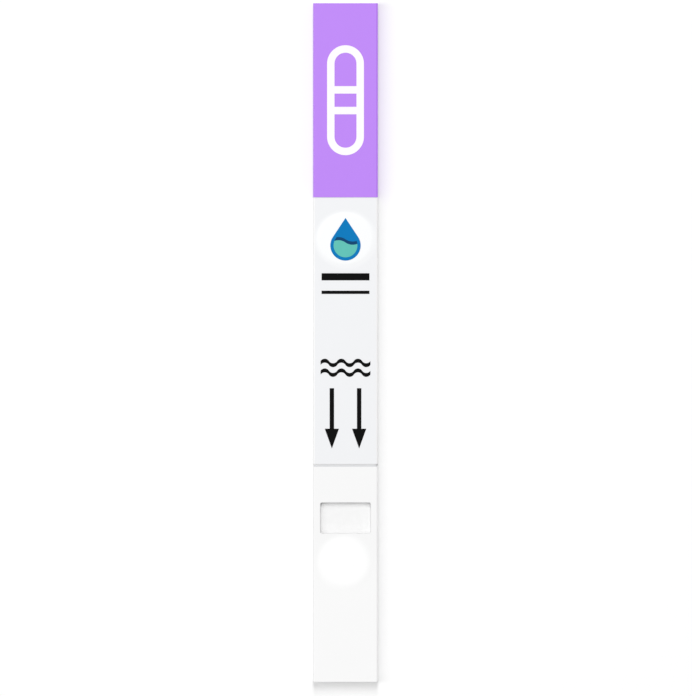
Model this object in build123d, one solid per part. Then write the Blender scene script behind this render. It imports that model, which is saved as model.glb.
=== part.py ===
from build123d import *
import math
import os

# A slim housed dip strip lying on its back, printed face up, in millimetres.
# X runs across the strip, +Y towards the handle and +Z up through its thickness.
# The origin is under the middle of the strip, on the surface that it lies on.
# Places along the strip are given as distances from the tip of the dip end.

# Housing: two thin mouldings that meet at a parting plane. Along the strip it has a dip
# end up to the level groove, a printed body, and a handle.
dip_length = 33.57
body_length = 41.43
handle_length = 30.0
width = 10.0
thickness = 2.6
back_wall = 0.7
front_wall = 0.8
side_wall = 0.8
end_wall = 0.8
parting_height = 1.3
front_edge_radius = 0.25
back_edge_radius = 0.25
dip_edge_radius = 0.1
dip_corner_margin = 0.4
cavity_corner_radius = 0.3
parting_ease = 0.06

# Locating lip on the back shell and its rebate in the front shell
lip_width = 0.3
lip_height = 0.3
lip_clearance = 0.03

# Films: the printed body label and the sleeve wrapped round the handle
film = 0.1
seam_gap = 0.4
label_tuck = 1.5

# Groove that marks how deep the strip may be dipped
groove_width = 0.35
groove_depth = 0.2
groove_side_depth = 0.15

# Sample window, below the groove
window_width = 7.8
window_length = 4.78
window_to_groove = 5.79
window_corner_radius = 0.3
window_edge_ease = 0.05
frame_wall = 0.6

# Reading window, under the film's unprinted stretch
reading_to_groove = 21.23
reading_width = 5.6
reading_length = 8.6
reading_gap = 0.2

# The laminated strip inside
strip_clearance = 0.1
strip_start = 5.0
strip_to_handle_end = 19.0
card_thickness = 0.25
membrane_thickness = 0.18
membrane_length = 25.0
conjugate_thickness = 0.35
conjugate_length = 10.0
lap = 2.0
lap_ramp = 0.6
pad_clearance = 0.15
press_depth = 0.1
press_bar_length = 1.2

# Pins of the front shell, in sockets on the back shell
pin_diameter = 1.4
pin_lead = 0.15
pin_clearance = 0.03
pin_end_gap = 0.1
socket_wall = 0.6
socket_depth = 0.3
pin_spread = 5.6
dip_pin_place = 2.6
handle_pin_to_end = 3.4
strip_pin_gap = 2.9

# Ribs of the back shell
rib_thickness = 0.6
rib_height = 0.7
handle_rib_count = 3

# Ink, printed over the films and the dip end
ink = 0.03

# White sign on the handle: a window frame crossed by two lines
sign_length = 17.0
sign_width = 5.7
sign_stroke = 1.15
sign_line_spread = 3.2

# Oval emblem field with a filled drop
emblem_to_handle = 6.5
field_width = 9.3
field_height = 8.6
drop_height = 6.6
drop_radius = 2.35
drop_border = 0.5
band_thickness = 0.5

# A thick and a thin line under the emblem
rule_width = 7.4
rule_to_emblem = 5.8
thick_rule = 1.1
thin_rule = 0.5
rule_spread = 2.4

# Two waves and two arrows above the groove
wave_width = 7.7
wave_thickness = 0.6
wave_rise = 0.35
wave_count = 3
wave_spread = 1.5
wave_to_groove = 15.06
arrow_tip_to_groove = 2.58
arrow_length = 9.32
arrow_head_length = 3.06
arrow_head_width = 2.2
arrow_shaft_width = 0.68
arrow_spread = 4.22

# White spot below the window
spot_diameter = 8.8
spot_gap = 0.02

# Heights, from the surface that the strip lies on
ceiling = thickness - front_wall
card_top = back_wall + card_thickness
membrane_top = card_top + membrane_thickness
conjugate_top = card_top + conjugate_thickness
conjugate_lap_top = membrane_top + conjugate_thickness
pad_top = ceiling - pad_clearance
pad_lap_top = ceiling - press_depth
sleeve_top = thickness + film

# Half widths
cavity_half = width / 2 - side_wall
strip_half = cavity_half - strip_clearance

# Places along the strip, from the tip of the dip end
groove_middle = dip_length
handle_start = dip_length + body_length
length = handle_start + handle_length
strip_end = length - strip_to_handle_end
reading_middle = groove_middle + reading_to_groove
membrane_start = reading_middle - membrane_length / 2
membrane_end = reading_middle + membrane_length / 2
conjugate_end = membrane_start + lap
conjugate_start = conjugate_end - conjugate_length
sample_end = conjugate_start + lap
absorbent_start = membrane_end - lap
window_top = groove_middle - window_to_groove
window_bottom = window_top - window_length
window_middle = (window_top + window_bottom) / 2
label_start = groove_middle + groove_width / 2
label_end = handle_start + label_tuck
emblem_place = handle_start - emblem_to_handle
pin_places = [dip_pin_place, strip_end + strip_pin_gap, length - handle_pin_to_end]


def from_dip(distance):
    return distance - length / 2


def raised(sketch, low, high):
    """A flat outline as a solid between two heights."""
    return extrude(Plane.XY.offset(low) * sketch, amount=high - low)


def plan(start, end, half_width, corner_radius=0):
    """A rectangle seen from above, between two places along the strip."""
    outline = Rectangle(2 * half_width, end - start)
    if corner_radius > 0:
        outline = RectangleRounded(2 * half_width, end - start, corner_radius)
    return Pos(0, from_dip((start + end) / 2)) * outline


def section(half_width, bottom, top, back_radius, front_radius):
    """The housing's cross-section, with its two pairs of rounded edges."""
    outline = Pos(0, (bottom + top) / 2) * Rectangle(2 * half_width, top - bottom)
    rows = outline.vertices().group_by(Axis.Y)
    outline = fillet(rows[0], back_radius)
    return fillet(outline.vertices().group_by(Axis.Y)[-1], front_radius)


def along(sketch, start, end):
    """A cross-section carried between two places along the strip."""
    return extrude(Plane.XZ.offset(-from_dip(start)) * sketch, amount=start - end)


def side_profile(points, half_width):
    """A closed outline seen from the side, carried across the strip."""
    outline = [(from_dip(place), height) for place, height in points]
    face = make_face(Polyline(*outline, close=True))
    return extrude(Plane.YZ * face, amount=half_width, both=True)


def handle_core():
    """The handle, drawn in by the film on its sides and back."""
    outline = section(
        width / 2 - film,
        film,
        thickness,
        back_edge_radius - film,
        front_edge_radius - film,
    )
    return along(outline, handle_start, length)


def before_handle(edges):
    """The edges that lie between the tip and the step up to the handle's film."""
    limit = from_dip(handle_start) - film
    return edges.filter_by(lambda edge: edge.center().Y < limit)


def housing_form():
    """The outside of both shells together, with a crisper edge round the dip end's tip."""
    bar = along(
        section(width / 2, 0, thickness, back_edge_radius, front_edge_radius), 0, handle_start
    )
    outline = plan(0, handle_start, width / 2 + dip_edge_radius)
    corner = dip_edge_radius + dip_corner_margin
    outline = fillet(outline.vertices().group_by(Axis.Y)[0], corner)
    tip_form = raised(outline, 0, thickness)
    faces = tip_form.faces().sort_by(Axis.Z)
    rims = before_handle(faces[0].edges() + faces[-1].edges())
    return (bar & fillet(rims, dip_edge_radius)) + handle_core()


def cavity(low, high, grow=0.0):
    """The room inside the shells, or a ring round it, between two heights."""
    outline = plan(
        end_wall - grow,
        length - end_wall + grow,
        cavity_half + grow,
        cavity_corner_radius + grow,
    )
    return raised(outline, low, high)


def cross_bar(place, bar_length, low, high, half_width=strip_half):
    """A bar from wall to wall, centred on one place along the strip."""
    return raised(plan(place - bar_length / 2, place + bar_length / 2, half_width), low, high)


def pin_centres():
    return [(side * pin_spread / 2, from_dip(place)) for place in pin_places for side in (-1, 1)]


def at_pins(solid):
    """The same solid on each pin's axis."""
    return Part() + [Pos(x, y) * solid for x, y in pin_centres()]


def pin():
    """A round pin under the front shell's ceiling, with a bevelled end."""
    radius = pin_diameter / 2
    end = back_wall - socket_depth + pin_end_gap
    points = [
        (0, end),
        (radius - pin_lead, end),
        (radius, end + pin_lead),
        (radius, ceiling),
        (0, ceiling),
    ]
    return revolve(Plane.XZ * make_face(Polyline(*points, close=True)), Axis.Z)


def groove():
    """The level groove, deep across the front face and shallow down both sides."""
    kept = section(
        width / 2 - groove_side_depth,
        -thickness,
        thickness - groove_depth,
        front_edge_radius,
        front_edge_radius,
    )
    ring = Rectangle(2 * width, 4 * thickness) - kept
    return along(ring, groove_middle - groove_width / 2, groove_middle + groove_width / 2)


def window_opening(start, end, opening_width, low, high):
    return raised(plan(start, end, opening_width / 2, window_corner_radius), low, high)


def half_housing(side, parting_face):
    """One half of the housing, its edge eased along the parting line."""
    half = split(housing_form(), bisect_by=Plane.XY.offset(parting_height), keep=side)
    edges = half.faces().sort_by(Axis.Z)[parting_face].edges()
    return chamfer(before_handle(edges), parting_ease)


def front_shell():
    """Front moulding: windows with their frames, press bars, pins and level groove."""
    shell = half_housing(Keep.TOP, 0)
    shell -= cavity(0, ceiling)
    lip_room = lip_width + lip_clearance
    shell -= cavity(0, parting_height + lip_height + lip_clearance, lip_room)

    shell += cross_bar(
        window_middle, window_length + 2 * frame_wall, pad_top, ceiling, cavity_half
    )
    shell += cross_bar(
        reading_middle,
        reading_length + 2 * frame_wall,
        membrane_top + reading_gap,
        ceiling,
        reading_width / 2 + frame_wall,
    )
    shell += cross_bar(sample_end - lap / 2, press_bar_length, pad_lap_top, ceiling)
    shell += cross_bar(conjugate_end - lap / 2, press_bar_length, conjugate_lap_top, ceiling)
    shell += cross_bar(absorbent_start + lap / 2, press_bar_length, pad_lap_top, ceiling)
    shell += at_pins(pin())

    shell -= window_opening(window_bottom, window_top, window_width, 0, thickness)
    rim = shell.faces().sort_by(Axis.Z)[-1].inner_wires()[0].edges()
    shell = chamfer(rim, window_edge_ease)
    shell -= window_opening(
        reading_middle - reading_length / 2,
        reading_middle + reading_length / 2,
        reading_width,
        0,
        thickness,
    )
    shell -= raised(plan(label_start, label_end, label_half()), thickness - film, thickness)
    return shell - groove()


def back_shell():
    """Back moulding: a shallow tray with a lip, strip stops, sockets and handle ribs."""
    shell = half_housing(Keep.BOTTOM, -1)
    shell += cavity(parting_height, parting_height + lip_height, lip_width)
    shell -= cavity(back_wall, thickness)
    stop_top = back_wall + rib_height
    shell += cross_bar(strip_start - rib_thickness / 2, rib_thickness, back_wall, stop_top)
    shell += cross_bar(strip_end + rib_thickness / 2, rib_thickness, back_wall, stop_top)
    bore = pin_diameter / 2 + pin_clearance
    shell += at_pins(raised(Circle(bore + socket_wall), back_wall, parting_height))
    shell -= at_pins(raised(Circle(bore), back_wall - socket_depth, parting_height))
    first, last = pin_places[1], pin_places[2]
    pitch = (last - first) / (handle_rib_count + 1)
    for number in range(1, handle_rib_count + 1):
        shell += cross_bar(first + number * pitch, rib_thickness, back_wall, ceiling)
    return shell


def backing_card():
    """Stiff card under the whole laminate."""
    return raised(plan(strip_start, strip_end, strip_half), back_wall, card_top)


def test_membrane():
    """Membrane that carries the test and control zones."""
    return raised(plan(membrane_start, membrane_end, strip_half), card_top, membrane_top)


def lapped_pad(start, end, step, flat_top, step_base, step_top):
    """A pad that lies on the card and climbs onto its neighbour at one end."""
    toward = 1 if end > start else -1
    ramp = step - toward * lap_ramp
    profile = [
        (start, card_top),
        (ramp, card_top),
        (step, step_base),
        (end, step_base),
        (end, step_top),
        (step, step_top),
        (ramp, flat_top),
        (start, flat_top),
    ]
    return side_profile(profile, strip_half)


def conjugate_pad():
    """Pad with the dried reagent, lapped over the membrane's near end."""
    return lapped_pad(
        conjugate_start,
        conjugate_end,
        membrane_start,
        conjugate_top,
        membrane_top,
        conjugate_lap_top,
    )


def sample_pad():
    """Thick pad under the sample window, lapped over the conjugate pad."""
    return lapped_pad(
        strip_start, sample_end, conjugate_start, pad_top, conjugate_top, pad_lap_top
    )


def absorbent_pad():
    """Thick pad in the handle, lapped over the membrane's far end."""
    return lapped_pad(
        strip_end, absorbent_start, membrane_end, pad_top, membrane_top, pad_lap_top
    )


def label_half():
    """Half width of the flat face, between the two rounded edges."""
    return width / 2 - front_edge_radius


def body_label():
    """Film in the front shell's recess, from the groove to under the sleeve."""
    return raised(plan(label_start, label_end, label_half()), thickness - film, thickness)


def handle_sleeve():
    """Film wrapped round the handle, its two ends meeting along the back."""
    outer = section(width / 2, 0, sleeve_top, back_edge_radius, front_edge_radius)
    sleeve = along(outer, handle_start, length) - handle_core()
    return sleeve - raised(plan(handle_start, length, seam_gap / 2), 0, back_wall)


def printed(sketch, place, surface):
    """Ink of one outline, on a surface at a given height."""
    return raised(Pos(0, from_dip(place)) * sketch, surface, surface + ink)


def handle_sign():
    """Long rounded frame crossed by two lines."""
    inner_width = sign_width - 2 * sign_stroke
    outer = SlotOverall(sign_length, sign_width, rotation=90)
    sign = outer - SlotOverall(sign_length - 2 * sign_stroke, inner_width, rotation=90)
    line = Rectangle(sign_width - sign_stroke, sign_stroke)
    for side in (-1, 1):
        sign += Pos(0, side * sign_line_spread / 2) * line
    return printed(sign, handle_start + handle_length / 2, sleeve_top)


def drop_outline(inset=0.0):
    """A drop with a point at the top, drawn in evenly by an inset."""
    radius = drop_radius - inset
    middle = drop_radius - drop_height / 2
    reach = (drop_height - drop_radius) * radius / drop_radius
    angle = math.asin(radius / reach)
    side_x = radius * math.cos(angle)
    side_y = middle + radius * math.sin(angle)
    edges = [
        Line((0, middle + reach), (side_x, side_y)),
        ThreePointArc((side_x, side_y), (0, middle - radius), (-side_x, side_y)),
        Line((-side_x, side_y), (0, middle + reach)),
    ]
    return make_face(Curve() + edges)


def wave_ribbon(ribbon_width, rise, count, below, above):
    """A band with a waved top and bottom, about a centre line at zero."""
    half_wave = ribbon_width / (2 * count)
    starts = [-ribbon_width / 2 + number * half_wave for number in range(2 * count)]
    edges = []
    for level in (-below, above):
        for number, start in enumerate(starts):
            crest = rise if number % 2 == 0 else -rise
            edges.append(
                ThreePointArc(
                    (start, level),
                    (start + half_wave / 2, level + crest),
                    (start + half_wave, level),
                )
            )
    for side in (-1, 1):
        end = side * ribbon_width / 2
        edges.append(Line((end, -below), (end, above)))
    return make_face(Curve() + edges)


def emblem_field():
    """Oval white field on the label."""
    return printed(Ellipse(field_width / 2, field_height / 2), emblem_place, thickness)


def emblem_drop():
    """Blue drop on the white field."""
    return printed(drop_outline(), emblem_place, thickness + ink)


def emblem_liquid():
    """Teal lower part of the drop, under a waved surface."""
    room = wave_ribbon(2 * drop_height, wave_rise, wave_count, drop_height, 0)
    liquid = drop_outline(drop_border) & Pos(0, -band_thickness) * room
    return printed(liquid, emblem_place, thickness + 2 * ink)


def emblem_band():
    """Dark band along the liquid's surface."""
    band = wave_ribbon(2 * drop_height, wave_rise, wave_count, band_thickness, 0)
    return printed(drop_outline(drop_border) & band, emblem_place, thickness + 2 * ink)


def label_rules():
    """A thick line over a thin one."""
    rules = Pos(0, rule_spread / 2) * Rectangle(rule_width, thick_rule)
    rules += Pos(0, -rule_spread / 2) * Rectangle(rule_width, thin_rule)
    return printed(rules, emblem_place - rule_to_emblem - rule_spread / 2, thickness)


def level_waves():
    """Two waves that stand for the highest level of the liquid."""
    half = wave_thickness / 2
    wave = wave_ribbon(wave_width, wave_rise, wave_count, half, half)
    waves = Sketch() + [Pos(0, side * wave_spread / 2) * wave for side in (-1, 1)]
    return printed(waves, groove_middle + wave_to_groove, thickness)


def arrow():
    """An arrow pointing to the dip end, its tip at zero."""
    head = arrow_head_width / 2
    shaft = arrow_shaft_width / 2
    points = [
        (0, 0),
        (head, arrow_head_length),
        (shaft, arrow_head_length),
        (shaft, arrow_length),
        (-shaft, arrow_length),
        (-shaft, arrow_head_length),
        (-head, arrow_head_length),
    ]
    return make_face(Polyline(*points, close=True))


def level_arrows():
    """A pair of arrows pointing at the groove."""
    pair = Sketch() + [Pos(side * arrow_spread / 2, 0) * arrow() for side in (-1, 1)]
    return printed(pair, groove_middle + arrow_tip_to_groove, thickness)


def dip_spot():
    """White spot on the dip end, below the window."""
    place = window_bottom - window_edge_ease - spot_gap - spot_diameter / 2
    return printed(Circle(spot_diameter / 2), place, thickness)


nodes = {
    "back_shell": back_shell,
    "front_shell": front_shell,
    "backing_card": backing_card,
    "sample_pad": sample_pad,
    "conjugate_pad": conjugate_pad,
    "test_membrane": test_membrane,
    "absorbent_pad": absorbent_pad,
    "body_label": body_label,
    "handle_sleeve": handle_sleeve,
    "handle_sign": handle_sign,
    "emblem_field": emblem_field,
    "emblem_drop": emblem_drop,
    "emblem_liquid": emblem_liquid,
    "emblem_band": emblem_band,
    "label_rules": label_rules,
    "level_waves": level_waves,
    "level_arrows": level_arrows,
    "dip_spot": dip_spot,
}

os.makedirs("parts", exist_ok=True)
for name, make in nodes.items():
    export_step(make(), f"parts/{name}.step")
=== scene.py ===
# %% [markdown]
# # A housed dip strip on a white table
# The part is a slim white plastic strip, a little longer than a finger and a little thicker
# than three bank cards. A camera looks straight down on it, and soft light comes from the
# handle's end and from the left. Blender works in metres here. The forms and masks on the strip
# are written in millimetres and turned into metres with mm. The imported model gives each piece
# at its real size and place, so this script only adds the light, the finishes and the finest
# forms.

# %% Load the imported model
import math

import bmesh
import bpy
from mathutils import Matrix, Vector, noise
from mathutils.bvhtree import BVHTree


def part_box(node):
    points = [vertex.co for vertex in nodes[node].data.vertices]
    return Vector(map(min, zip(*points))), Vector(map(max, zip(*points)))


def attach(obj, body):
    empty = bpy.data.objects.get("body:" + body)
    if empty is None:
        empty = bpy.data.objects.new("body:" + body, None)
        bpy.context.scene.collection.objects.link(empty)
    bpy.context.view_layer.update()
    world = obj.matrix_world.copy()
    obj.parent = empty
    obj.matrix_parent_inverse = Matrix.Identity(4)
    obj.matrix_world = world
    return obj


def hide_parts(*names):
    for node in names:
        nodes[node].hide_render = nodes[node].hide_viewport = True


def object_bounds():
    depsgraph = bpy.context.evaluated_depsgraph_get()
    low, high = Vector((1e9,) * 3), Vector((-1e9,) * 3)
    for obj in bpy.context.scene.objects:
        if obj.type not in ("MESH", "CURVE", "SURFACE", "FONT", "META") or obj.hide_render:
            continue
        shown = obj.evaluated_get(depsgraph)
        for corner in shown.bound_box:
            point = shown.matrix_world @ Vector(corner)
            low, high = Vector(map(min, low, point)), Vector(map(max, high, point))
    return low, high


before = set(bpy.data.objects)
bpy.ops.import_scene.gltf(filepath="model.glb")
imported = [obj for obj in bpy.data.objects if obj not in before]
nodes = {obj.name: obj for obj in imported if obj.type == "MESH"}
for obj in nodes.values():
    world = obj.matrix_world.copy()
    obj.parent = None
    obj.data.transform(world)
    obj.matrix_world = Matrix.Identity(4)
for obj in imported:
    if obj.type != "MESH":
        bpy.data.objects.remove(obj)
cad_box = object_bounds()
mm = 0.001
print("pieces in the model:", len(nodes))
print("size in mm:", [round(edge / mm, 2) for edge in cad_box[1] - cad_box[0]])

# %% [markdown]
# ## Camera
# The photograph looks straight down and shows no perspective. A long lens far away gives that
# look and still works from any other side. The picture is 692 by 696 pixels, and the strip is
# 679 pixels long in it, a little above the picture's middle.

# %% A long lens, looking straight down
picture_width = 692
picture_height = 696
strip_pixels = 679.1
middle_x = 345.5
middle_y = 342.75
camera_distance = 1.6
farthest_seen = 20

strip_length = cad_box[1].y - cad_box[0].y
strip_top = cad_box[1].z
pixel = strip_length / strip_pixels
camera_data = bpy.data.cameras.new("camera")
camera = bpy.data.objects.new("camera", camera_data)
bpy.context.scene.collection.objects.link(camera)
bpy.context.scene.camera = camera
camera.location = (
    (picture_width / 2 - middle_x) * pixel,
    (middle_y - picture_height / 2) * pixel,
    strip_top + camera_distance,
)
camera_data.lens = camera_data.sensor_width * camera_distance / (picture_height * pixel)
camera_data.clip_end = farthest_seen
print("lens in mm:", round(camera_data.lens), "pixel in mm:", round(pixel / mm, 4))

# %% [markdown]
# ## Table and light
# The photograph's ground is pure white, and only the strip's own shadow shows on it. A white
# table that glows faintly, like a light table, stays white up to that shadow. One long soft box
# hangs over the handle's end and a weaker one to the left, so the shadow falls mostly towards
# the dip end and a little to the right. A shadow fades to nothing where the far end of its box
# comes into view, so each box starts a little past the strip and reaches to where its shadow in
# the photograph ends. Nothing hangs straight overhead, because the satin faces would mirror it
# into the camera. A pale sky fills the rest. The table lies a hair below the strip and can be
# seen only from above, so that a camera under it sees the strip's back.

# %% The table
table_size = 4.0
table_drop = 0.01 * mm
table_white = 0.72
table_glow = 0.22
table_roughness = 0.9
pure_white = (1, 1, 1, 1)


def flat_square(name, size, height):
    """A square sheet that faces up, round the middle of the scene."""
    edge = size / 2
    mesh = bpy.data.meshes.new(name)
    corners = [(x * edge, y * edge, height) for x, y in ((-1, -1), (1, -1), (1, 1), (-1, 1))]
    mesh.from_pydata(corners, [], [(0, 1, 2, 3)])
    square = bpy.data.objects.new(name, mesh)
    bpy.context.scene.collection.objects.link(square)
    return square


table = flat_square("table", table_size, -table_drop)
table_paint = bpy.data.materials.new("table_white")
table_paint.use_nodes = True
table_shader = table_paint.node_tree.nodes["Principled BSDF"]
table_shader.inputs["Base Color"].default_value = (table_white, table_white, table_white, 1)
table_shader.inputs["Roughness"].default_value = table_roughness
table_shader.inputs["Specular IOR Level"].default_value = 0.0
table_shader.inputs["Emission Color"].default_value = pure_white
table_shader.inputs["Emission Strength"].default_value = table_glow
table.data.materials.append(table_paint)
print("table:", table_size, "m square, its white", table_white, "and its glow", table_glow)

# %% Nothing of the table shows from below
table_tree = table_paint.node_tree
side_seen = table_tree.nodes.new("ShaderNodeNewGeometry")
clear = table_tree.nodes.new("ShaderNodeBsdfTransparent")
one_sided = table_tree.nodes.new("ShaderNodeMixShader")
table_tree.links.new(side_seen.outputs["Backfacing"], one_sided.inputs[0])
table_tree.links.new(table_shader.outputs[0], one_sided.inputs[1])
table_tree.links.new(clear.outputs[0], one_sided.inputs[2])
table_tree.links.new(one_sided.outputs[0], table_tree.nodes["Material Output"].inputs["Surface"])
print("table paint:", [node.name for node in table_tree.nodes])

# %% Two soft boxes and a pale sky
light_height = 3.0
box_width = 0.75
end_reach = (0.2, 1.05)
end_power = 81
side_reach = (0.15, 1.2)
side_power = 45
sky_strength = 0.36


def soft_box(name, direction, reach, power):
    """A flat lamp that runs out from above the strip. Its reach is in shares of its height."""
    start, end = [share * light_height for share in reach]
    lamp = bpy.data.lights.new(name, "AREA")
    lamp.shape = "RECTANGLE"
    lamp.size = box_width
    lamp.size_y = end - start
    lamp.energy = power
    lamp_object = bpy.data.objects.new(name, lamp)
    middle = Vector(direction) * (start + end) / 2
    lamp_object.location = (middle.x, middle.y, light_height)
    lamp_object.rotation_euler.z = math.atan2(direction[0], direction[1])
    bpy.context.scene.collection.objects.link(lamp_object)


soft_box("end_light", (0, 1), end_reach, end_power)
soft_box("side_light", (-1, 0), side_reach, side_power)
sky = bpy.data.worlds.new("sky")
sky.use_nodes = True
sky_light = sky.node_tree.nodes["Background"]
sky_light.inputs["Color"].default_value = pure_white
sky_light.inputs["Strength"].default_value = sky_strength
bpy.context.scene.world = sky
bpy.context.scene.view_settings.view_transform = "Standard"
print("sky:", sky_strength, "lamps in watts:", end_power, side_power)

# %% [markdown]
# ## Colours
# A colour in the photograph is the finish times the light on it, with a thin veil over it where
# the surface mirrors the lamps. The faces that look up get face_light here. So a finish is the
# colour seen on the screen, made linear, less the veil, and divided by that light.

# %% From a screen colour to a finish
face_light = 1.08
satin_veil = 0.034
label_veil = 0.052
sleeve_veil = 0.073
ink_veil = 0.01
darkest_finish = 0.002


def linear(value):
    """One screen value from 0 to 255 as an amount of light."""
    share = value / 255
    if share <= 0.04045:
        return share / 12.92
    return ((share + 0.055) / 1.055) ** 2.4


def finish_of(red, green, blue, veil=satin_veil):
    """The finish that shows as this screen colour on a face that looks up."""
    parts = [(linear(value) - veil) / face_light for value in (red, green, blue)]
    return tuple(max(part, darkest_finish) for part in parts) + (1.0,)


plastic_colour = finish_of(249, 249, 249)
label_colour = finish_of(243, 244, 246, label_veil)
sleeve_colour = finish_of(194, 141, 249, sleeve_veil)
for place, colour in (("plastic", plastic_colour), ("label", label_colour), ("sleeve", sleeve_colour)):
    print(place, [round(part, 2) for part in colour[:3]])

# %% [markdown]
# ## Shader groups
# Most of the strip is one of three skins: moulded plastic with the fine grain of its tool,
# satin film, and pressed fibre. Each is a node group that puts out a height for the Bump node
# and small changes of tone and gloss. The group is built once, and each material places it with
# its own values. Sizes inside are in millimetres, so that they can be read as real sizes. Noise
# runs about evenly to both sides of its middle, which is taken off so that the tone and the
# gloss of the whole stay as set.

# %% Helpers for node trees
def new_group(name, inputs, outputs):
    """A shader group with float inputs and outputs, and its two end nodes."""
    group = bpy.data.node_groups.new(name, "ShaderNodeTree")
    for label, value in inputs.items():
        socket = group.interface.new_socket(label, in_out="INPUT", socket_type="NodeSocketFloat")
        socket.default_value = value
    for label in outputs:
        group.interface.new_socket(label, in_out="OUTPUT", socket_type="NodeSocketFloat")
    return group, group.nodes.new("NodeGroupInput"), group.nodes.new("NodeGroupOutput")


def math_node(tree, operation, first, second=None, third=None):
    """A Math node. Each value is a socket or a number."""
    node = tree.nodes.new("ShaderNodeMath")
    node.operation = operation
    for socket, value in zip(node.inputs, (first, second, third)):
        if isinstance(value, bpy.types.NodeSocket):
            tree.links.new(value, socket)
        elif value is not None:
            socket.default_value = value
    return node.outputs[0]


def noise_node(tree, place, size, detail=2.0, roughness=0.5):
    """Noise whose lumps are about size across. Size is a number or a socket."""
    node = tree.nodes.new("ShaderNodeTexNoise")
    node.inputs["Detail"].default_value = detail
    node.inputs["Roughness"].default_value = roughness
    tree.links.new(place, node.inputs["Vector"])
    tree.links.new(math_node(tree, "DIVIDE", 1.0, size), node.inputs["Scale"])
    return node.outputs["Fac"]


def place_in_mm(tree, stretch=(1, 1, 1), turn=0.0):
    """The point on the object in millimetres, turned about Z and then stretched."""
    source = tree.nodes.new("ShaderNodeTexCoord")
    mapping = tree.nodes.new("ShaderNodeMapping")
    mapping.vector_type = "TEXTURE"
    mapping.inputs["Rotation"].default_value = (0, 0, turn)
    mapping.inputs["Scale"].default_value = [mm * part for part in stretch]
    tree.links.new(source.outputs["Object"], mapping.inputs["Vector"])
    return mapping.outputs["Vector"]


# %% What every skin puts out
noise_middle = 0.5
skin_outputs = ("Height", "Tone", "Gloss")


def close_skin(group, inlet, outlet, height, tone_noise, gloss):
    """Turns what is left of the noise into a tone round one, and links the three outputs."""
    tone = math_node(group, "MULTIPLY_ADD", tone_noise, inlet.outputs["Mottle"], 1.0)
    for label, value in zip(skin_outputs, (height, tone, gloss)):
        group.links.new(value, outlet.inputs[label])
    return group


# %% Skin of a moulded part
wave_height = 2.0


def moulded_skin():
    """Fine grain from the tool's surface, with slow waves where the plastic shrank."""
    group, inlet, outlet = new_group(
        "moulded_skin", {"Grain": 0.08, "Wave": 4.0, "Mottle": 0.01}, skin_outputs
    )
    place = place_in_mm(group)
    grain = noise_node(group, place, inlet.outputs["Grain"], detail=3.0)
    wave = noise_node(group, place, inlet.outputs["Wave"], detail=1.0)
    height = math_node(group, "MULTIPLY_ADD", wave, wave_height, grain)
    spread = math_node(group, "SUBTRACT", wave, noise_middle)
    gloss = math_node(group, "SUBTRACT", grain, noise_middle)
    return close_skin(group, inlet, outlet, height, spread, gloss)


# %% Skin of a film
film_stretch = 1.6
ripple_height = 3.0


def film_skin():
    """The faint pebbling of a satin film, with a slower ripple from the glue under it."""
    group, inlet, outlet = new_group(
        "film_skin", {"Pebble": 0.05, "Ripple": 2.2, "Mottle": 0.006}, skin_outputs
    )
    place = place_in_mm(group, stretch=(1, film_stretch, 1))
    pebble = noise_node(group, place, inlet.outputs["Pebble"])
    ripple = noise_node(group, place, inlet.outputs["Ripple"])
    height = math_node(group, "MULTIPLY_ADD", ripple, ripple_height, pebble)
    spread = math_node(group, "SUBTRACT", ripple, noise_middle)
    gloss = math_node(group, "SUBTRACT", pebble, noise_middle)
    return close_skin(group, inlet, outlet, height, spread, gloss)


# %% Skin of pressed fibre
layer_turns = (0.4, 1.5, 2.5)
layer_stretch = 9
layer_roughness = 0.6
top_middle = 0.6
cloud_height = 0.5


def fibre_skin():
    """Long thin lumps laid three ways, like the fibres of blotting paper."""
    group, inlet, outlet = new_group(
        "fibre_skin", {"Fibre": 0.03, "Cloud": 0.9, "Mottle": 0.03}, skin_outputs
    )
    layers = []
    for turn in layer_turns:
        place = place_in_mm(group, stretch=(1, layer_stretch, 1), turn=turn)
        layers.append(noise_node(group, place, inlet.outputs["Fibre"], roughness=layer_roughness))
    top = math_node(group, "MAXIMUM", layers[0], layers[1])
    top = math_node(group, "MAXIMUM", top, layers[2])
    cloud = noise_node(group, place_in_mm(group), inlet.outputs["Cloud"])
    height = math_node(group, "MULTIPLY_ADD", cloud, cloud_height, top)
    both = math_node(group, "ADD", cloud, top)
    spread = math_node(group, "SUBTRACT", both, noise_middle + top_middle)
    gloss = math_node(group, "SUBTRACT", top, top_middle)
    return close_skin(group, inlet, outlet, height, spread, gloss)


# %% Masks for printed fields
def fade_out(tree, past, fade):
    """One where past is below nothing, falling smoothly to zero where past reaches fade."""
    node = tree.nodes.new("ShaderNodeMapRange")
    node.interpolation_type = "SMOOTHSTEP"
    node.inputs["To Min"].default_value = 1.0
    node.inputs["To Max"].default_value = 0.0
    tree.links.new(past, node.inputs["Value"])
    tree.links.new(fade, node.inputs["From Max"])
    return node.outputs["Result"]


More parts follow.
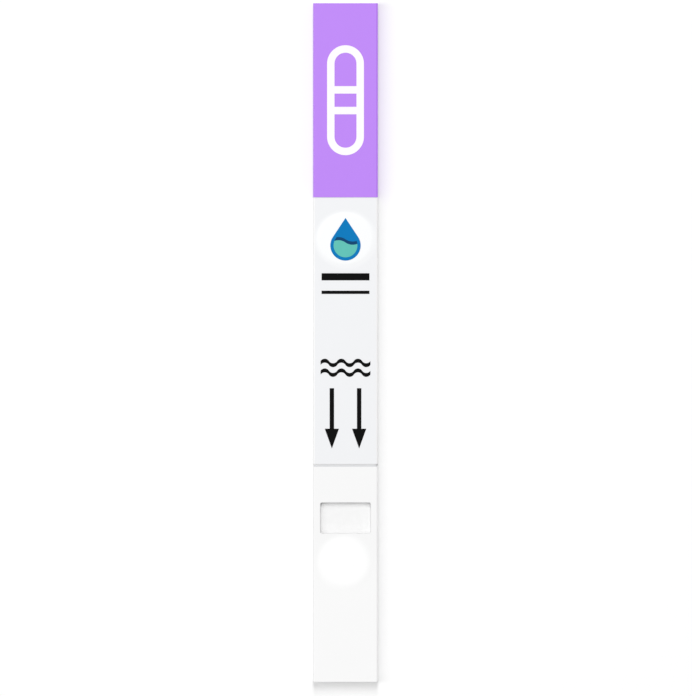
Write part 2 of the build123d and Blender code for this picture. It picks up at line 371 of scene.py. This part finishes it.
def soft_oval():
    """One inside an oval above the height Lowest, fading round it. Shape is length over width."""
    names = {
        "Middle X": 0.0, "Middle Y": 0.0, "Half width": 3.0,
        "Shape": 1.0, "Fade": 1.5, "Lowest": 0.3,
    }
    group, inlet, outlet = new_group("soft_oval", names, ("Mask",))
    split = group.nodes.new("ShaderNodeSeparateXYZ")
    group.links.new(place_in_mm(group), split.inputs[0])
    aside = math_node(group, "SUBTRACT", split.outputs["X"], inlet.outputs["Middle X"])
    away = math_node(group, "SUBTRACT", split.outputs["Y"], inlet.outputs["Middle Y"])
    away = math_node(group, "DIVIDE", away, inlet.outputs["Shape"])
    square = math_node(group, "MULTIPLY", aside, aside)
    reach = math_node(group, "SQRT", math_node(group, "MULTIPLY_ADD", away, away, square))
    past = math_node(group, "SUBTRACT", reach, inlet.outputs["Half width"])
    above = math_node(group, "GREATER_THAN", split.outputs["Z"], inlet.outputs["Lowest"])
    oval = math_node(group, "MULTIPLY", fade_out(group, past, inlet.outputs["Fade"]), above)
    group.links.new(oval, outlet.inputs["Mask"])
    return group


def straight_line():
    """One on a line above the height Lowest: across the strip, or along it if Turned is 1."""
    names = {"Middle": 0.0, "Turned": 0.0, "Half width": 0.1, "Fade": 0.05, "Lowest": 0.3}
    group, inlet, outlet = new_group("straight_line", names, ("Mask",))
    split = group.nodes.new("ShaderNodeSeparateXYZ")
    group.links.new(place_in_mm(group), split.inputs[0])
    turn = math_node(group, "SUBTRACT", split.outputs["X"], split.outputs["Y"])
    place = math_node(group, "MULTIPLY_ADD", turn, inlet.outputs["Turned"], split.outputs["Y"])
    away = math_node(group, "SUBTRACT", place, inlet.outputs["Middle"])
    away = math_node(group, "ABSOLUTE", away)
    past = math_node(group, "SUBTRACT", away, inlet.outputs["Half width"])
    above = math_node(group, "GREATER_THAN", split.outputs["Z"], inlet.outputs["Lowest"])
    line = math_node(group, "MULTIPLY", fade_out(group, past, inlet.outputs["Fade"]), above)
    group.links.new(line, outlet.inputs["Mask"])
    return group


skins = {"moulded": moulded_skin(), "film": film_skin(), "fibre": fibre_skin()}
oval_mask = soft_oval()
line_mask = straight_line()
print("groups:", [group.name for group in bpy.data.node_groups])

# %% [markdown]
# ## Finishes
# Every finish is built the same way: a skin group drives the Bump node, tints the colour by its
# tone and moves the roughness a little. What is the same all over, such as the share of gloss,
# is set on the shader's own sockets.

# %% A finish from a skin
def place_group(tree, group, values):
    """Places a shader group in a material, with that material's own values."""
    node = tree.nodes.new("ShaderNodeGroup")
    node.node_tree = group
    for label, value in values.items():
        node.inputs[label].default_value = value
    return node


def finish(name, colour, skin, skin_values, bump_mm, roughness, gloss_swing, specular=0.5):
    """A material with one skin."""
    material = bpy.data.materials.new(name)
    material.use_nodes = True
    tree = material.node_tree
    shader = tree.nodes["Principled BSDF"]
    surface = place_group(tree, skins[skin], skin_values)
    bump = tree.nodes.new("ShaderNodeBump")
    bump.inputs["Strength"].default_value = 1.0
    bump.inputs["Distance"].default_value = bump_mm * mm
    tree.links.new(surface.outputs["Height"], bump.inputs["Height"])
    tree.links.new(bump.outputs["Normal"], shader.inputs["Normal"])
    rough = math_node(tree, "MULTIPLY_ADD", surface.outputs["Gloss"], gloss_swing, roughness)
    tree.links.new(rough, shader.inputs["Roughness"])
    shader.inputs["Specular IOR Level"].default_value = specular
    tinted = tree.nodes.new("ShaderNodeVectorMath")
    tinted.operation = "SCALE"
    tinted.inputs[0].default_value = colour[:3]
    tree.links.new(surface.outputs["Tone"], tinted.inputs["Scale"])
    tree.links.new(tinted.outputs["Vector"], shader.inputs["Base Color"])
    return material


def paint_over(material, mask, mask_values, colour):
    """Lays a second colour over a finish where a mask says so."""
    tree = material.node_tree
    base = tree.nodes["Principled BSDF"].inputs["Base Color"]
    mix = tree.nodes.new("ShaderNodeMix")
    mix.data_type = "RGBA"
    share, below, above = [socket for socket in mix.inputs if socket.enabled]
    tree.links.new(place_group(tree, mask, mask_values).outputs["Mask"], share)
    tree.links.new(base.links[0].from_socket, below)
    above.default_value = colour
    tree.links.new([socket for socket in mix.outputs if socket.enabled][0], base)


def dress(node, material):
    """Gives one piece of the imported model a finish."""
    slots = nodes[node].data.materials
    slots.clear()
    slots.append(material)


# %% [markdown]
# ## The two shells
# Both shells are moulded in the same white plastic. It is satin, not shiny: the tool was
# finely blasted. Painted shade makes it a touch greyer round the window than at the tip. The
# level groove's floor gets a thin line of painted shade, a darker grey where the light leaves
# the groove too pale. The grey lies in the face only, not in the notches at the sides. Both are
# masks in the plastic's own finish.

# %% Moulded white plastic
# Painted shade: the plastic is a little greyer round the window.
painted_window_shade = {"Middle": -24.0, "Half width": 6.0, "Fade": 9.0, "Lowest": 0.3}
groove_painted_shade = {"Middle": -19.04, "Half width": 0.08, "Fade": 0.06, "Lowest": 2.3}


def satin_plastic(name):
    """The white plastic, with painted shade that makes it a little greyer round the window."""
    plastic = finish(
        name, plastic_colour, "moulded", {"Grain": 0.08, "Wave": 5.0, "Mottle": 0.012},
        bump_mm=0.003, roughness=0.42, gloss_swing=0.16,
    )
    paint_over(plastic, line_mask, painted_window_shade, finish_of(247, 247, 247))
    return plastic


moulded_white = satin_plastic("moulded_white")
# Painted shade: a grey line darkens the groove's floor where the light leaves it pale.
paint_over(moulded_white, line_mask, groove_painted_shade, finish_of(212, 213, 215))
for node in ("front_shell", "back_shell"):
    dress(node, moulded_white)
print("groove line at", groove_painted_shade["Middle"], "mm, in", moulded_white.name)

# %% [markdown]
# ## Films
# The body label is a pale grey-blue film, and the handle is wrapped in a purple one. Both are
# satin, a little smoother than the plastic.

# %% Label and sleeve
def pale_film(name):
    """The pale grey-blue film of the body label."""
    return finish(
        name, label_colour, "film", {"Pebble": 0.07, "Ripple": 2.5, "Mottle": 0.008},
        bump_mm=0.0018, roughness=0.36, gloss_swing=0.12,
    )


label_film = pale_film("label_film")
dress("body_label", label_film)
purple_film = finish(
    "purple_film", sleeve_colour, "film", {"Pebble": 0.07, "Ripple": 3.0, "Mottle": 0.02},
    bump_mm=0.0018, roughness=0.38, gloss_swing=0.12,
)
dress("handle_sleeve", purple_film)
print("films:", label_film.name, purple_film.name)

# %% [markdown]
# ## Painted light on the edge away from the lamps
# Light that enters thin white plastic comes out again at its rounded edges, so they stay pale
# where a solid block's would darken. In the photograph the strip's right edge, which faces away
# from the lamps, is only a little darker than its face. Light inside the plastic could be worked
# out with subsurface scattering, but a paler tone along that edge is simpler and enough here.

# %% Painted light along one edge
# Painted light: a paler tone along the right edge of the plastic and both films.
painted_edge_light = {"Middle": 5.0, "Turned": 1, "Half width": 0.09, "Fade": 0.05, "Lowest": 0.0}
edge_light_gain = 1.14
palest_finish = 0.97


def with_painted_light(colour):
    """A colour with painted light in it, but still a real finish."""
    return tuple(min(part * edge_light_gain, palest_finish) for part in colour[:3]) + (1.0,)


edge_light_colours = (
    (moulded_white, plastic_colour),
    (label_film, label_colour),
    (purple_film, sleeve_colour),
)
for material, colour in edge_light_colours:
    paint_over(material, line_mask, painted_edge_light, with_painted_light(colour))
    print(material.name, "edge:", [round(part, 2) for part in with_painted_light(colour)[:3]])

# %% [markdown]
# ## Ink
# Screen ink lies on the film as a thin matt layer, so it shines less than the film does.

# %% Inks
def ink(name, red, green, blue):
    """A thin matt layer of screen ink, named by the colour it shows."""
    return finish(
        name, finish_of(red, green, blue, ink_veil), "film",
        {"Pebble": 0.05, "Ripple": 1.2, "Mottle": 0.05},
        bump_mm=0.002, roughness=0.55, gloss_swing=0.15, specular=0.05,
    )


black_ink = ink("black_ink", 14, 16, 18)
for node in ("label_rules", "level_waves", "level_arrows"):
    dress(node, black_ink)
dress("emblem_drop", ink("blue_ink", 5, 124, 189))
dress("emblem_liquid", ink("teal_ink", 102, 194, 183))
dress("emblem_band", ink("navy_ink", 33, 75, 115))
dress("handle_sign", ink("sign_white", 255, 251, 255))
print("materials so far:", [material.name for material in bpy.data.materials])

# %% [markdown]
# ## Soft white fields
# The round field on the dip end and the oval one behind the drop have no hard rim: the white is
# sprayed thinner and thinner towards the edge. So each field gets the finish of what it lies on,
# with the white laid over it where a mask says so. The spray reaches a little past each rim, so
# the shell and the label carry the same masks. On the dip end the white lies a little left of
# the middle, as in the photograph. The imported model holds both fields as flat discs, and their
# steps would show as thin rings from the side. So two discs that thin out to almost nothing at
# the rim take their place.

# %% Discs that thin out
rim_thickness = 0.002
disc_rings = 12
disc_segments = 96
sharp_corner = math.radians(50)


def smooth_step(share):
    """From zero to one on a curve that starts and ends level."""
    return share * share * (3 - 2 * share)


def soft_disc(name, node, full_share):
    """A closed disc in a round field's place, thinning from a share of its half width on."""
    low, high = [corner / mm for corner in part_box(node)]
    half = (high - low) / 2
    middle = (high + low) / 2
    loops = []
    for ring in range(disc_rings + 1):
        out = ring / disc_rings
        drop = (high.z - low.z - rim_thickness) * smooth_step(out)
        loops.append((full_share + (1 - full_share) * out, high.z - drop))
    loops.append((1.0, low.z))
    form = bmesh.new()
    rows = []
    for share, height in loops:
        row = []
        for index in range(disc_segments):
            turn = math.tau * index / disc_segments
            x = middle.x + half.x * share * math.cos(turn)
            y = middle.y + half.y * share * math.sin(turn)
            row.append(form.verts.new(Vector((x, y, height)) * mm))
        rows.append(row)
    for inner, outer in zip(rows, rows[1:]):
        for index in range(disc_segments):
            ahead = (index + 1) % disc_segments
            form.faces.new((inner[index], outer[index], outer[ahead], inner[ahead]))
    form.faces.new(rows[0])
    form.faces.new(rows[-1][::-1])
    return smooth_mesh(name, form)


def smooth_mesh(name, form):
    """Turns a finished form into a mesh, smooth but for its sharp corners."""
    mesh = bpy.data.meshes.new(name)
    form.to_mesh(mesh)
    form.free()
    mesh.shade_smooth()
    mesh.set_sharp_from_angle(angle=sharp_corner)
    return mesh


def add_piece(mesh, material, node):
    """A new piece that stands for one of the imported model's."""
    piece = bpy.data.objects.new(mesh.name, mesh)
    bpy.context.scene.collection.objects.link(piece)
    mesh.materials.append(material)
    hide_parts(node)
    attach(piece, "root")
    print(mesh.name, "has", len(mesh.polygons), "faces")
    return piece


# %% Two fields that fade out
spot_full_share = 0.73
spot_fade = 1.5
spot_aside = -0.3
field_full_share = 0.84
field_fade = 1.35


def oval_in(node, full_share, fade, aside=0.0):
    """The soft oval of a round field. It is full to a share of its half width, then fades."""
    low, high = [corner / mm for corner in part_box(node)]
    half = (high - low) / 2
    return {
        "Middle X": aside,
        "Middle Y": (high.y + low.y) / 2,
        "Half width": half.x * full_share,
        "Shape": half.y / half.x,
        "Fade": fade,
    }


spot_white = satin_plastic("spot_white")
spot_oval = oval_in("dip_spot", spot_full_share, spot_fade, spot_aside)
for material in (spot_white, moulded_white):
    paint_over(material, oval_mask, spot_oval, finish_of(255, 255, 255))
spot_disc = soft_disc("dip_spot_spray", "dip_spot", spot_full_share)
add_piece(spot_disc, spot_white, "dip_spot")
field_white = pale_film("field_white")
field_oval = oval_in("emblem_field", field_full_share, field_fade)
for material in (field_white, label_film):
    paint_over(material, oval_mask, field_oval, finish_of(253, 254, 255, label_veil))
field_disc = soft_disc("emblem_field_spray", "emblem_field", field_full_share)
add_piece(field_disc, field_white, "emblem_field")
for oval in (spot_oval, field_oval):
    print("oval:", {label: round(value, 2) for label, value in oval.items()})

# %% [markdown]
# ## The strip inside
# Only the sample pad can be seen, through the window. It is pressed cotton, soft and dull. The
# other layers get their own finishes too, because a strip may be opened.

# %% Fibre, card and membrane
pad_fibre = finish(
    "pad_fibre", finish_of(246, 246, 246, ink_veil), "fibre",
    {"Fibre": 0.035, "Cloud": 0.9, "Mottle": 0.07},
    bump_mm=0.03, roughness=0.9, gloss_swing=0.1, specular=0.1,
)
glass_fibre = finish(
    "glass_fibre", finish_of(230, 200, 205), "fibre", {"Fibre": 0.02, "Cloud": 0.6, "Mottle": 0.05},
    bump_mm=0.02, roughness=0.8, gloss_swing=0.1, specular=0.2,
)
membrane_white = finish(
    "membrane_white", finish_of(250, 250, 248), "moulded",
    {"Grain": 0.02, "Wave": 1.5, "Mottle": 0.01},
    bump_mm=0.001, roughness=0.7, gloss_swing=0.1, specular=0.3,
)
card_white = finish(
    "card_white", finish_of(250, 250, 249), "film", {"Pebble": 0.08, "Ripple": 4.0, "Mottle": 0.005},
    bump_mm=0.0005, roughness=0.3, gloss_swing=0.05,
)
inner_finishes = {
    "absorbent_pad": pad_fibre,
    "conjugate_pad": glass_fibre,
    "test_membrane": membrane_white,
    "backing_card": card_white,
}
for node, material in inner_finishes.items():
    dress(node, material)
print("dressed inside:", list(inner_finishes))

# %% [markdown]
# ## The sample pad
# The pad is a strip of pressed cotton, cut from a roll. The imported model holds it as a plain
# solid, but felt is never that flat or that sharp. It could be remeshed and puffed up by a cloth
# simulation, as a cushion is, but pressed felt keeps its shape. So it is a grid of points laid
# over the solid, closer together under the window. The points of the top are then lowered a
# little: by the tangle of the fibres, by the frame that presses it round the window, and along
# the cut edges. No point is raised, so the pad stays in the space of its solid. The sizes below
# are in millimetres, and the window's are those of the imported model.

# %% Rows and columns of points
window_half_width = 3.9
window_low = -29.5
window_high = -24.72
fine_step = 0.1
coarse_step = 0.4
window_margin = 0.6


def steps(start, end, size):
    """Places from start to end, about size apart."""
    count = round((end - start) / size)
    return [start + (end - start) * index / count for index in range(count + 1)]


pad_low, pad_high = [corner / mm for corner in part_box("sample_pad")]
pad_columns = steps(pad_low.x, pad_high.x, fine_step)
pad_rows = steps(pad_low.y, window_low - window_margin, coarse_step)
pad_rows += steps(window_low - window_margin, window_high + window_margin, fine_step)
pad_rows += steps(window_high + window_margin, pad_high.y, coarse_step)
pad_rows += [vertex.co.y / mm for vertex in nodes["sample_pad"].data.vertices]
pad_rows = sorted({round(row, 3) for row in pad_rows})
print("pad rows and columns:", len(pad_rows), len(pad_columns))

# %% How far the felt's top lies below the solid's
fibre_turns = (0.3, 1.4, 2.4)
fibre_length = 1.1
fibre_width = 0.24
fibre_depth = 0.012
layer_apart = 7
soft_press = 0.03
soft_press_width = 0.3
hard_press = 0.09
hard_press_width = 0.9
cut_round = 0.06
cut_width = 0.2


def fibre_tangle(x, y):
    """From zero on top of a fibre to one between fibres."""
    highest = 0.0
    for turn in fibre_turns:
        along = (x * math.cos(turn) + y * math.sin(turn)) / fibre_length
        across = (y * math.cos(turn) - x * math.sin(turn)) / fibre_width
        highest = max(highest, noise.noise(Vector((along, across, layer_apart * turn))))
    return 1 - min(highest, 1.0)


def fall(distance, reach):
    """One at distance nothing, and none from reach on, on a smooth curve."""
    return (1 - min(max(distance / reach, 0.0), 1.0)) ** 2


def lowered(x, y):
    """The frame presses the felt harder on the right and towards the tip."""
    from_soft_side = min(window_half_width + x, window_high - y)
    from_hard_side = min(window_half_width - x, y - window_low)
    from_cut = min(pad_high.x - abs(x), pad_high.y - y, y - pad_low.y)
    press = max(
        soft_press * fall(from_soft_side, soft_press_width),
        hard_press * fall(from_hard_side, hard_press_width),
    )
    return press + fibre_depth * fibre_tangle(x, y) + cut_round * fall(from_cut, cut_width)


window_middle = (window_low + window_high) / 2
print("lowered in the window's middle:", round(lowered(0, window_middle), 3))
print("lowered in its hard corner:", round(lowered(window_half_width, window_low), 3))

# %% The felt
ray_inset = 0.999
ray_nudge = 0.01
ray_height = 10


def felt_mesh(name, node):
    """A closed grid over a solid. Each point's height is found by a ray onto the solid.

    A ray on the solid's very edge could miss it, so each is aimed a hair inside.
    """
    solid = BVHTree.FromObject(nodes[node], bpy.context.evaluated_depsgraph_get())
    form = bmesh.new()
    for side in (1, -1):
        grid = []
        for y in pad_rows:
            line = []
            for x in pad_columns:
                aim_y = (y - pad_rows[0]) * ray_inset + pad_rows[0] + ray_nudge
                start = Vector((x * ray_inset, aim_y, ray_height * side)) * mm
                hit = solid.ray_cast(start, Vector((0, 0, -side)))[0]
                height = hit.z / mm - (lowered(x, y) if side == 1 else 0)
                line.append(form.verts.new(Vector((x, y, height)) * mm))
            grid.append(line)
        for near, far in zip(grid, grid[1:]):
            for index in range(len(pad_columns) - 1):
                corners = [near[index], near[index + 1], far[index + 1], far[index]]
                form.faces.new(corners[::side])
    bmesh.ops.bridge_loops(form, edges=[edge for edge in form.edges if edge.is_boundary])
    bmesh.ops.recalc_face_normals(form, faces=form.faces)
    return smooth_mesh(name, form)


felt = add_piece(felt_mesh("sample_pad_felt", "sample_pad"), pad_fibre, "sample_pad")

# %% [markdown]
# ## Painted light and shade along the window's edges
# The shades under the window's upper and left edges are a little paler in the photograph than
# the light here makes them, and the lit lower and right walls throw a little less light on the
# felt. So the felt is a touch paler or greyer in a soft band along each edge.

# %% Four soft bands of painted light and shade on the felt
# Painted light on the upper and left bands, painted shade on the right and lower ones.
painted_felt_bands = (
    ({"Middle": window_high, "Half width": 0.25, "Fade": 0.8}, 253),
    ({"Middle": -window_half_width, "Turned": 1, "Half width": 0.2, "Fade": 0.6}, 252),
    ({"Middle": window_half_width, "Turned": 1, "Half width": 0.1, "Fade": 1.0}, 243),
    ({"Middle": window_low, "Half width": 0.2, "Fade": 0.9}, 241),
)
for band, grey in painted_felt_bands:
    paint_over(pad_fibre, line_mask, band, finish_of(grey, grey, grey, ink_veil))
print("bands on the felt:", len(painted_felt_bands))
